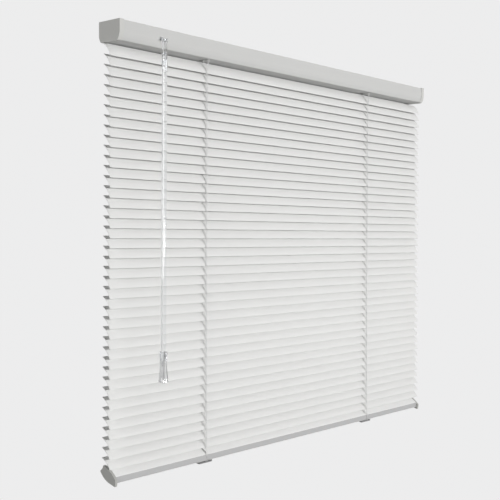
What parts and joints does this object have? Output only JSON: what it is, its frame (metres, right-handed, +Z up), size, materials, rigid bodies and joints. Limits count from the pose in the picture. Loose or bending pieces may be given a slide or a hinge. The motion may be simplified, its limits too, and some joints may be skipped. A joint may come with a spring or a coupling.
{
  "type": "mini blind",
  "caption": "Horizontal mini blind: headrail with a worm tilter, crowned slats hung on two ladders, a bottom rail and a clear hexagonal tilt wand.",
  "frame": {"origin": "on the headrail's back face, midway along the headrail and 9 mm below its top edge", "axes": "+X along the slats, to the right seen from the room; +Y out of the back face; +Z up"},
  "size_m": [0.9, 0.0633, 0.7137],
  "materials": {
    "headrail_paint": "satin white enamel",
    "cap_plastic": "moulded, satin",
    "mechanism_plastic": "moulded, plain",
    "worm_steel": "bright drawn steel",
    "clear_plastic": "clear moulded plastic",
    "slat_vinyl": "satin vinyl",
    "rail_plastic": "satin vinyl",
    "rail_cap_plastic": "moulded, satin grey",
    "cord_fabric": "braided polyester"
  },
  "bodies": {
    "headrail": {"headrail": "headrail_paint", "headrail_end_caps": "cap_plastic", "tilter_housing": "mechanism_plastic", "drum_cradles": "mechanism_plastic", "spring_motor_case": "mechanism_plastic", "spring_motor_spools": "mechanism_plastic", "ladders_and_lift_cords": "cord_fabric"},
    "tilt_shaft": {"tilt_rod": "worm_steel", "tilter_gear": "mechanism_plastic", "tilt_drums": "mechanism_plastic"},
    "worm": {"tilter_worm": "worm_steel"},
    "hook": {"wand_hook": "clear_plastic"},
    "wand": {"wand_sleeve": "clear_plastic", "wand_rod": "clear_plastic", "wand_grip": "clear_plastic"},
    "slat_01": {"slat_01": "slat_vinyl"},
    "slat_02": {"slat_02": "slat_vinyl"},
    "slat_03": {"slat_03": "slat_vinyl"},
    "slat_04": {"slat_04": "slat_vinyl"},
    "slat_05": {"slat_05": "slat_vinyl"},
    "slat_06": {"slat_06": "slat_vinyl"},
    "slat_07": {"slat_07": "slat_vinyl"},
    "slat_08": {"slat_08": "slat_vinyl"},
    "slat_09": {"slat_09": "slat_vinyl"},
    "slat_10": {"slat_10": "slat_vinyl"},
    "slat_11": {"slat_11": "slat_vinyl"},
    "slat_12": {"slat_12": "slat_vinyl"},
    "slat_13": {"slat_13": "slat_vinyl"},
    "slat_14": {"slat_14": "slat_vinyl"},
    "slat_15": {"slat_15": "slat_vinyl"},
    "slat_16": {"slat_16": "slat_vinyl"},
    "slat_17": {"slat_17": "slat_vinyl"},
    "slat_18": {"slat_18": "slat_vinyl"},
    "slat_19": {"slat_19": "slat_vinyl"},
    "slat_20": {"slat_20": "slat_vinyl"},
    "slat_21": {"slat_21": "slat_vinyl"},
    "slat_22": {"slat_22": "slat_vinyl"},
    "slat_23": {"slat_23": "slat_vinyl"},
    "slat_24": {"slat_24": "slat_vinyl"},
    "slat_25": {"slat_25": "slat_vinyl"},
    "slat_26": {"slat_26": "slat_vinyl"},
    "slat_27": {"slat_27": "slat_vinyl"},
    "slat_28": {"slat_28": "slat_vinyl"},
    "slat_29": {"slat_29": "slat_vinyl"},
    "slat_30": {"slat_30": "slat_vinyl"},
    "slat_31": {"slat_31": "slat_vinyl"},
    "slat_32": {"slat_32": "slat_vinyl"},
    "slat_33": {"slat_33": "slat_vinyl"},
    "slat_34": {"slat_34": "slat_vinyl"},
    "slat_35": {"slat_35": "slat_vinyl"},
    "slat_36": {"slat_36": "slat_vinyl"},
    "slat_37": {"slat_37": "slat_vinyl"},
    "slat_38": {"slat_38": "slat_vinyl"},
    "slat_39": {"slat_39": "slat_vinyl"},
    "slat_40": {"slat_40": "slat_vinyl"},
    "slat_41": {"slat_41": "slat_vinyl"},
    "slat_42": {"slat_42": "slat_vinyl"},
    "bottom_rail": {"bottom_rail": "rail_plastic", "bottom_rail_end_caps": "rail_cap_plastic", "ladder_clips": "rail_cap_plastic"}
  },
  "joints": [
    {"name": "tilt", "type": "hinge", "parent": "headrail", "child": "tilt_shaft", "pos_m": [0, -0.0253, -0.011], "axis": [1, 0, 0], "range_deg": [-116, 14], "deforming": ["ladders_and_lift_cords"]},
    {"name": "worm_spin", "type": "hinge", "parent": "headrail", "child": "worm", "pos_m": [-0.3575, -0.02889, -0.00113], "axis": [0, -0.9397, -0.342], "range_deg": [-1160, 140]},
    {"name": "wand_swing", "type": "hinge", "parent": "headrail", "child": "hook", "pos_m": [-0.3575, -0.0553, -0.01074], "axis": [-1, 0, 0], "range_deg": [0, 55]},
    {"name": "wand_spin", "type": "hinge", "parent": "hook", "child": "wand", "pos_m": [-0.3575, -0.0553, -0.01074], "axis": [0, 0, -1], "range_deg": [-1160, 140]},
    {"name": "slat_01_tilt", "type": "hinge", "parent": "headrail", "child": "slat_01", "pos_m": [0, -0.0253, -0.0354], "axis": [1, 0, 0], "range_deg": [-116, 14]},
    {"name": "slat_02_tilt", "type": "hinge", "parent": "headrail", "child": "slat_02", "pos_m": [0, -0.0253, -0.05086], "axis": [1, 0, 0], "range_deg": [-116, 14]},
    {"name": "slat_03_tilt", "type": "hinge", "parent": "headrail", "child": "slat_03", "pos_m": [0, -0.0253, -0.06632], "axis": [1, 0, 0], "range_deg": [-116, 14]},
    {"name": "slat_04_tilt", "type": "hinge", "parent": "headrail", "child": "slat_04", "pos_m": [0, -0.0253, -0.08178], "axis": [1, 0, 0], "range_deg": [-115.99, 14]},
    {"name": "slat_05_tilt", "type": "hinge", "parent": "headrail", "child": "slat_05", "pos_m": [0, -0.0253, -0.09724], "axis": [1, 0, 0], "range_deg": [-115.98, 14]},
    {"name": "slat_06_tilt", "type": "hinge", "parent": "headrail", "child": "slat_06", "pos_m": [0, -0.0253, -0.1127], "axis": [1, 0, 0], "range_deg": [-115.96, 14]},
    {"name": "slat_07_tilt", "type": "hinge", "parent": "headrail", "child": "slat_07", "pos_m": [0, -0.0253, -0.12816], "axis": [1, 0, 0], "range_deg": [-115.93, 13.99]},
    {"name": "slat_08_tilt", "type": "hinge", "parent": "headrail", "child": "slat_08", "pos_m": [0, -0.0253, -0.14362], "axis": [1, 0, 0], "range_deg": [-115.89, 13.99]},
    {"name": "slat_09_tilt", "type": "hinge", "parent": "headrail", "child": "slat_09", "pos_m": [0, -0.0253, -0.15908], "axis": [1, 0, 0], "range_deg": [-115.83, 13.98]},
    {"name": "slat_10_tilt", "type": "hinge", "parent": "headrail", "child": "slat_10", "pos_m": [0, -0.0253, -0.17454], "axis": [1, 0, 0], "range_deg": [-115.76, 13.97]},
    {"name": "slat_11_tilt", "type": "hinge", "parent": "headrail", "child": "slat_11", "pos_m": [0, -0.0253, -0.19], "axis": [1, 0, 0], "range_deg": [-115.67, 13.96]},
    {"name": "slat_12_tilt", "type": "hinge", "parent": "headrail", "child": "slat_12", "pos_m": [0, -0.0253, -0.20546], "axis": [1, 0, 0], "range_deg": [-115.56, 13.95]},
    {"name": "slat_13_tilt", "type": "hinge", "parent": "headrail", "child": "slat_13", "pos_m": [0, -0.0253, -0.22092], "axis": [1, 0, 0], "range_deg": [-115.43, 13.93]},
    {"name": "slat_14_tilt", "type": "hinge", "parent": "headrail", "child": "slat_14", "pos_m": [0, -0.0253, -0.23638], "axis": [1, 0, 0], "range_deg": [-115.28, 13.91]},
    {"name": "slat_15_tilt", "type": "hinge", "parent": "headrail", "child": "slat_15", "pos_m": [0, -0.0253, -0.25184], "axis": [1, 0, 0], "range_deg": [-115.09, 13.89]},
    {"name": "slat_16_tilt", "type": "hinge", "parent": "headrail", "child": "slat_16", "pos_m": [0, -0.0253, -0.2673], "axis": [1, 0, 0], "range_deg": [-114.89, 13.87]},
    {"name": "slat_17_tilt", "type": "hinge", "parent": "headrail", "child": "slat_17", "pos_m": [0, -0.0253, -0.28276], "axis": [1, 0, 0], "range_deg": [-114.65, 13.84]},
    {"name": "slat_18_tilt", "type": "hinge", "parent": "headrail", "child": "slat_18", "pos_m": [0, -0.0253, -0.29822], "axis": [1, 0, 0], "range_deg": [-114.38, 13.8]},
    {"name": "slat_19_tilt", "type": "hinge", "parent": "headrail", "child": "slat_19", "pos_m": [0, -0.0253, -0.31368], "axis": [1, 0, 0], "range_deg": [-114.08, 13.77]},
    {"name": "slat_20_tilt", "type": "hinge", "parent": "headrail", "child": "slat_20", "pos_m": [0, -0.0253, -0.32914], "axis": [1, 0, 0], "range_deg": [-113.74, 13.73]},
    {"name": "slat_21_tilt", "type": "hinge", "parent": "headrail", "child": "slat_21", "pos_m": [0, -0.0253, -0.3446], "axis": [1, 0, 0], "range_deg": [-113.36, 13.68]},
    {"name": "slat_22_tilt", "type": "hinge", "parent": "headrail", "child": "slat_22", "pos_m": [0, -0.0253, -0.36006], "axis": [1, 0, 0], "range_deg": [-112.94, 13.63]},
    {"name": "slat_23_tilt", "type": "hinge", "parent": "headrail", "child": "slat_23", "pos_m": [0, -0.0253, -0.37552], "axis": [1, 0, 0], "range_deg": [-112.49, 13.58]},
    {"name": "slat_24_tilt", "type": "hinge", "parent": "headrail", "child": "slat_24", "pos_m": [0, -0.0253, -0.39098], "axis": [1, 0, 0], "range_deg": [-111.98, 13.52]},
    {"name": "slat_25_tilt", "type": "hinge", "parent": "headrail", "child": "slat_25", "pos_m": [0, -0.0253, -0.40644], "axis": [1, 0, 0], "range_deg": [-111.44, 13.45]},
    {"name": "slat_26_tilt", "type": "hinge", "parent": "headrail", "child": "slat_26", "pos_m": [0, -0.0253, -0.4219], "axis": [1, 0, 0], "range_deg": [-110.84, 13.38]},
    {"name": "slat_27_tilt", "type": "hinge", "parent": "headrail", "child": "slat_27", "pos_m": [0, -0.0253, -0.43736], "axis": [1, 0, 0], "range_deg": [-110.2, 13.3]},
    {"name": "slat_28_tilt", "type": "hinge", "parent": "headrail", "child": "slat_28", "pos_m": [0, -0.0253, -0.45282], "axis": [1, 0, 0], "range_deg": [-109.5, 13.22]},
    {"name": "slat_29_tilt", "type": "hinge", "parent": "headrail", "child": "slat_29", "pos_m": [0, -0.0253, -0.46828], "axis": [1, 0, 0], "range_deg": [-108.76, 13.13]},
    {"name": "slat_30_tilt", "type": "hinge", "parent": "headrail", "child": "slat_30", "pos_m": [0, -0.0253, -0.48374], "axis": [1, 0, 0], "range_deg": [-107.95, 13.03]},
    {"name": "slat_31_tilt", "type": "hinge", "parent": "headrail", "child": "slat_31", "pos_m": [0, -0.0253, -0.4992], "axis": [1, 0, 0], "range_deg": [-107.09, 12.93]},
    {"name": "slat_32_tilt", "type": "hinge", "parent": "headrail", "child": "slat_32", "pos_m": [0, -0.0253, -0.51466], "axis": [1, 0, 0], "range_deg": [-106.17, 12.81]},
    {"name": "slat_33_tilt", "type": "hinge", "parent": "headrail", "child": "slat_33", "pos_m": [0, -0.0253, -0.53012], "axis": [1, 0, 0], "range_deg": [-105.19, 12.7]},
    {"name": "slat_34_tilt", "type": "hinge", "parent": "headrail", "child": "slat_34", "pos_m": [0, -0.0253, -0.54558], "axis": [1, 0, 0], "range_deg": [-104.14, 12.57]},
    {"name": "slat_35_tilt", "type": "hinge", "parent": "headrail", "child": "slat_35", "pos_m": [0, -0.0253, -0.56104], "axis": [1, 0, 0], "range_deg": [-103.03, 12.44]},
    {"name": "slat_36_tilt", "type": "hinge", "parent": "headrail", "child": "slat_36", "pos_m": [0, -0.0253, -0.5765], "axis": [1, 0, 0], "range_deg": [-101.85, 12.29]},
    {"name": "slat_37_tilt", "type": "hinge", "parent": "headrail", "child": "slat_37", "pos_m": [0, -0.0253, -0.59196], "axis": [1, 0, 0], "range_deg": [-100.6, 12.14]},
    {"name": "slat_38_tilt", "type": "hinge", "parent": "headrail", "child": "slat_38", "pos_m": [0, -0.0253, -0.60742], "axis": [1, 0, 0], "range_deg": [-99.28, 11.98]},
    {"name": "slat_39_tilt", "type": "hinge", "parent": "headrail", "child": "slat_39", "pos_m": [0, -0.0253, -0.62288], "axis": [1, 0, 0], "range_deg": [-97.89, 11.81]},
    {"name": "slat_40_tilt", "type": "hinge", "parent": "headrail", "child": "slat_40", "pos_m": [0, -0.0253, -0.63834], "axis": [1, 0, 0], "range_deg": [-96.42, 11.64]},
    {"name": "slat_41_tilt", "type": "hinge", "parent": "headrail", "child": "slat_41", "pos_m": [0, -0.0253, -0.6538], "axis": [1, 0, 0], "range_deg": [-94.88, 11.45]},
    {"name": "slat_42_tilt", "type": "hinge", "parent": "headrail", "child": "slat_42", "pos_m": [0, -0.0253, -0.66926], "axis": [1, 0, 0], "range_deg": [-93.25, 11.26]},
    {"name": "bottom_rail_tilt", "type": "hinge", "parent": "headrail", "child": "bottom_rail", "pos_m": [0, -0.0253, -0.69026], "axis": [1, 0, 0], "range_deg": [-72.78, 8.79]}
  ],
  "couplings": [
    {"joint": "worm_spin", "follows": "tilt", "ratio": 10},
    {"joint": "wand_spin", "follows": "tilt", "ratio": 10},
    {"joint": "slat_01_tilt", "follows": "tilt", "ratio": 1},
    {"joint": "slat_02_tilt", "follows": "tilt", "ratio": 1},
    {"joint": "slat_03_tilt", "follows": "tilt", "ratio": 0.99998},
    {"joint": "slat_04_tilt", "follows": "tilt", "ratio": 0.99992},
    {"joint": "slat_05_tilt", "follows": "tilt", "ratio": 0.99982},
    {"joint": "slat_06_tilt", "follows": "tilt", "ratio": 0.99964},
    {"joint": "slat_07_tilt", "follows": "tilt", "ratio": 0.99938},
    {"joint": "slat_08_tilt", "follows": "tilt", "ratio": 0.99902},
    {"joint": "slat_09_tilt", "follows": "tilt", "ratio": 0.99854},
    {"joint": "slat_10_tilt", "follows": "tilt", "ratio": 0.99793},
    {"joint": "slat_11_tilt", "follows": "tilt", "ratio": 0.99716},
    {"joint": "slat_12_tilt", "follows": "tilt", "ratio": 0.99621},
    {"joint": "slat_13_tilt", "follows": "tilt", "ratio": 0.99508},
    {"joint": "slat_14_tilt", "follows": "tilt", "ratio": 0.99375},
    {"joint": "slat_15_tilt", "follows": "tilt", "ratio": 0.99219},
    {"joint": "slat_16_tilt", "follows": "tilt", "ratio": 0.9904},
    {"joint": "slat_17_tilt", "follows": "tilt", "ratio": 0.98835},
    {"joint": "slat_18_tilt", "follows": "tilt", "ratio": 0.98602},
    {"joint": "slat_19_tilt", "follows": "tilt", "ratio": 0.98341},
    {"joint": "slat_20_tilt", "follows": "tilt", "ratio": 0.98049},
    {"joint": "slat_21_tilt", "follows": "tilt", "ratio": 0.97724},
    {"joint": "slat_22_tilt", "follows": "tilt", "ratio": 0.97365},
    {"joint": "slat_23_tilt", "follows": "tilt", "ratio": 0.96971},
    {"joint": "slat_24_tilt", "follows": "tilt", "ratio": 0.96539},
    {"joint": "slat_25_tilt", "follows": "tilt", "ratio": 0.96067},
    {"joint": "slat_26_tilt", "follows": "tilt", "ratio": 0.95555},
    {"joint": "slat_27_tilt", "follows": "tilt", "ratio": 0.95},
    {"joint": "slat_28_tilt", "follows": "tilt", "ratio": 0.944},
    {"joint": "slat_29_tilt", "follows": "tilt", "ratio": 0.93755},
    {"joint": "slat_30_tilt", "follows": "tilt", "ratio": 0.93061},
    {"joint": "slat_31_tilt", "follows": "tilt", "ratio": 0.92319},
    {"joint": "slat_32_tilt", "follows": "tilt", "ratio": 0.91524},
    {"joint": "slat_33_tilt", "follows": "tilt", "ratio": 0.90678},
    {"joint": "slat_34_tilt", "follows": "tilt", "ratio": 0.89776},
    {"joint": "slat_35_tilt", "follows": "tilt", "ratio": 0.88818},
    {"joint": "slat_36_tilt", "follows": "tilt", "ratio": 0.87802},
    {"joint": "slat_37_tilt", "follows": "tilt", "ratio": 0.86726},
    {"joint": "slat_38_tilt", "follows": "tilt", "ratio": 0.85589},
    {"joint": "slat_39_tilt", "follows": "tilt", "ratio": 0.84389},
    {"joint": "slat_40_tilt", "follows": "tilt", "ratio": 0.83124},
    {"joint": "slat_41_tilt", "follows": "tilt", "ratio": 0.81792},
    {"joint": "slat_42_tilt", "follows": "tilt", "ratio": 0.80392},
    {"joint": "bottom_rail_tilt", "follows": "tilt", "ratio": 0.62745}
  ]
}
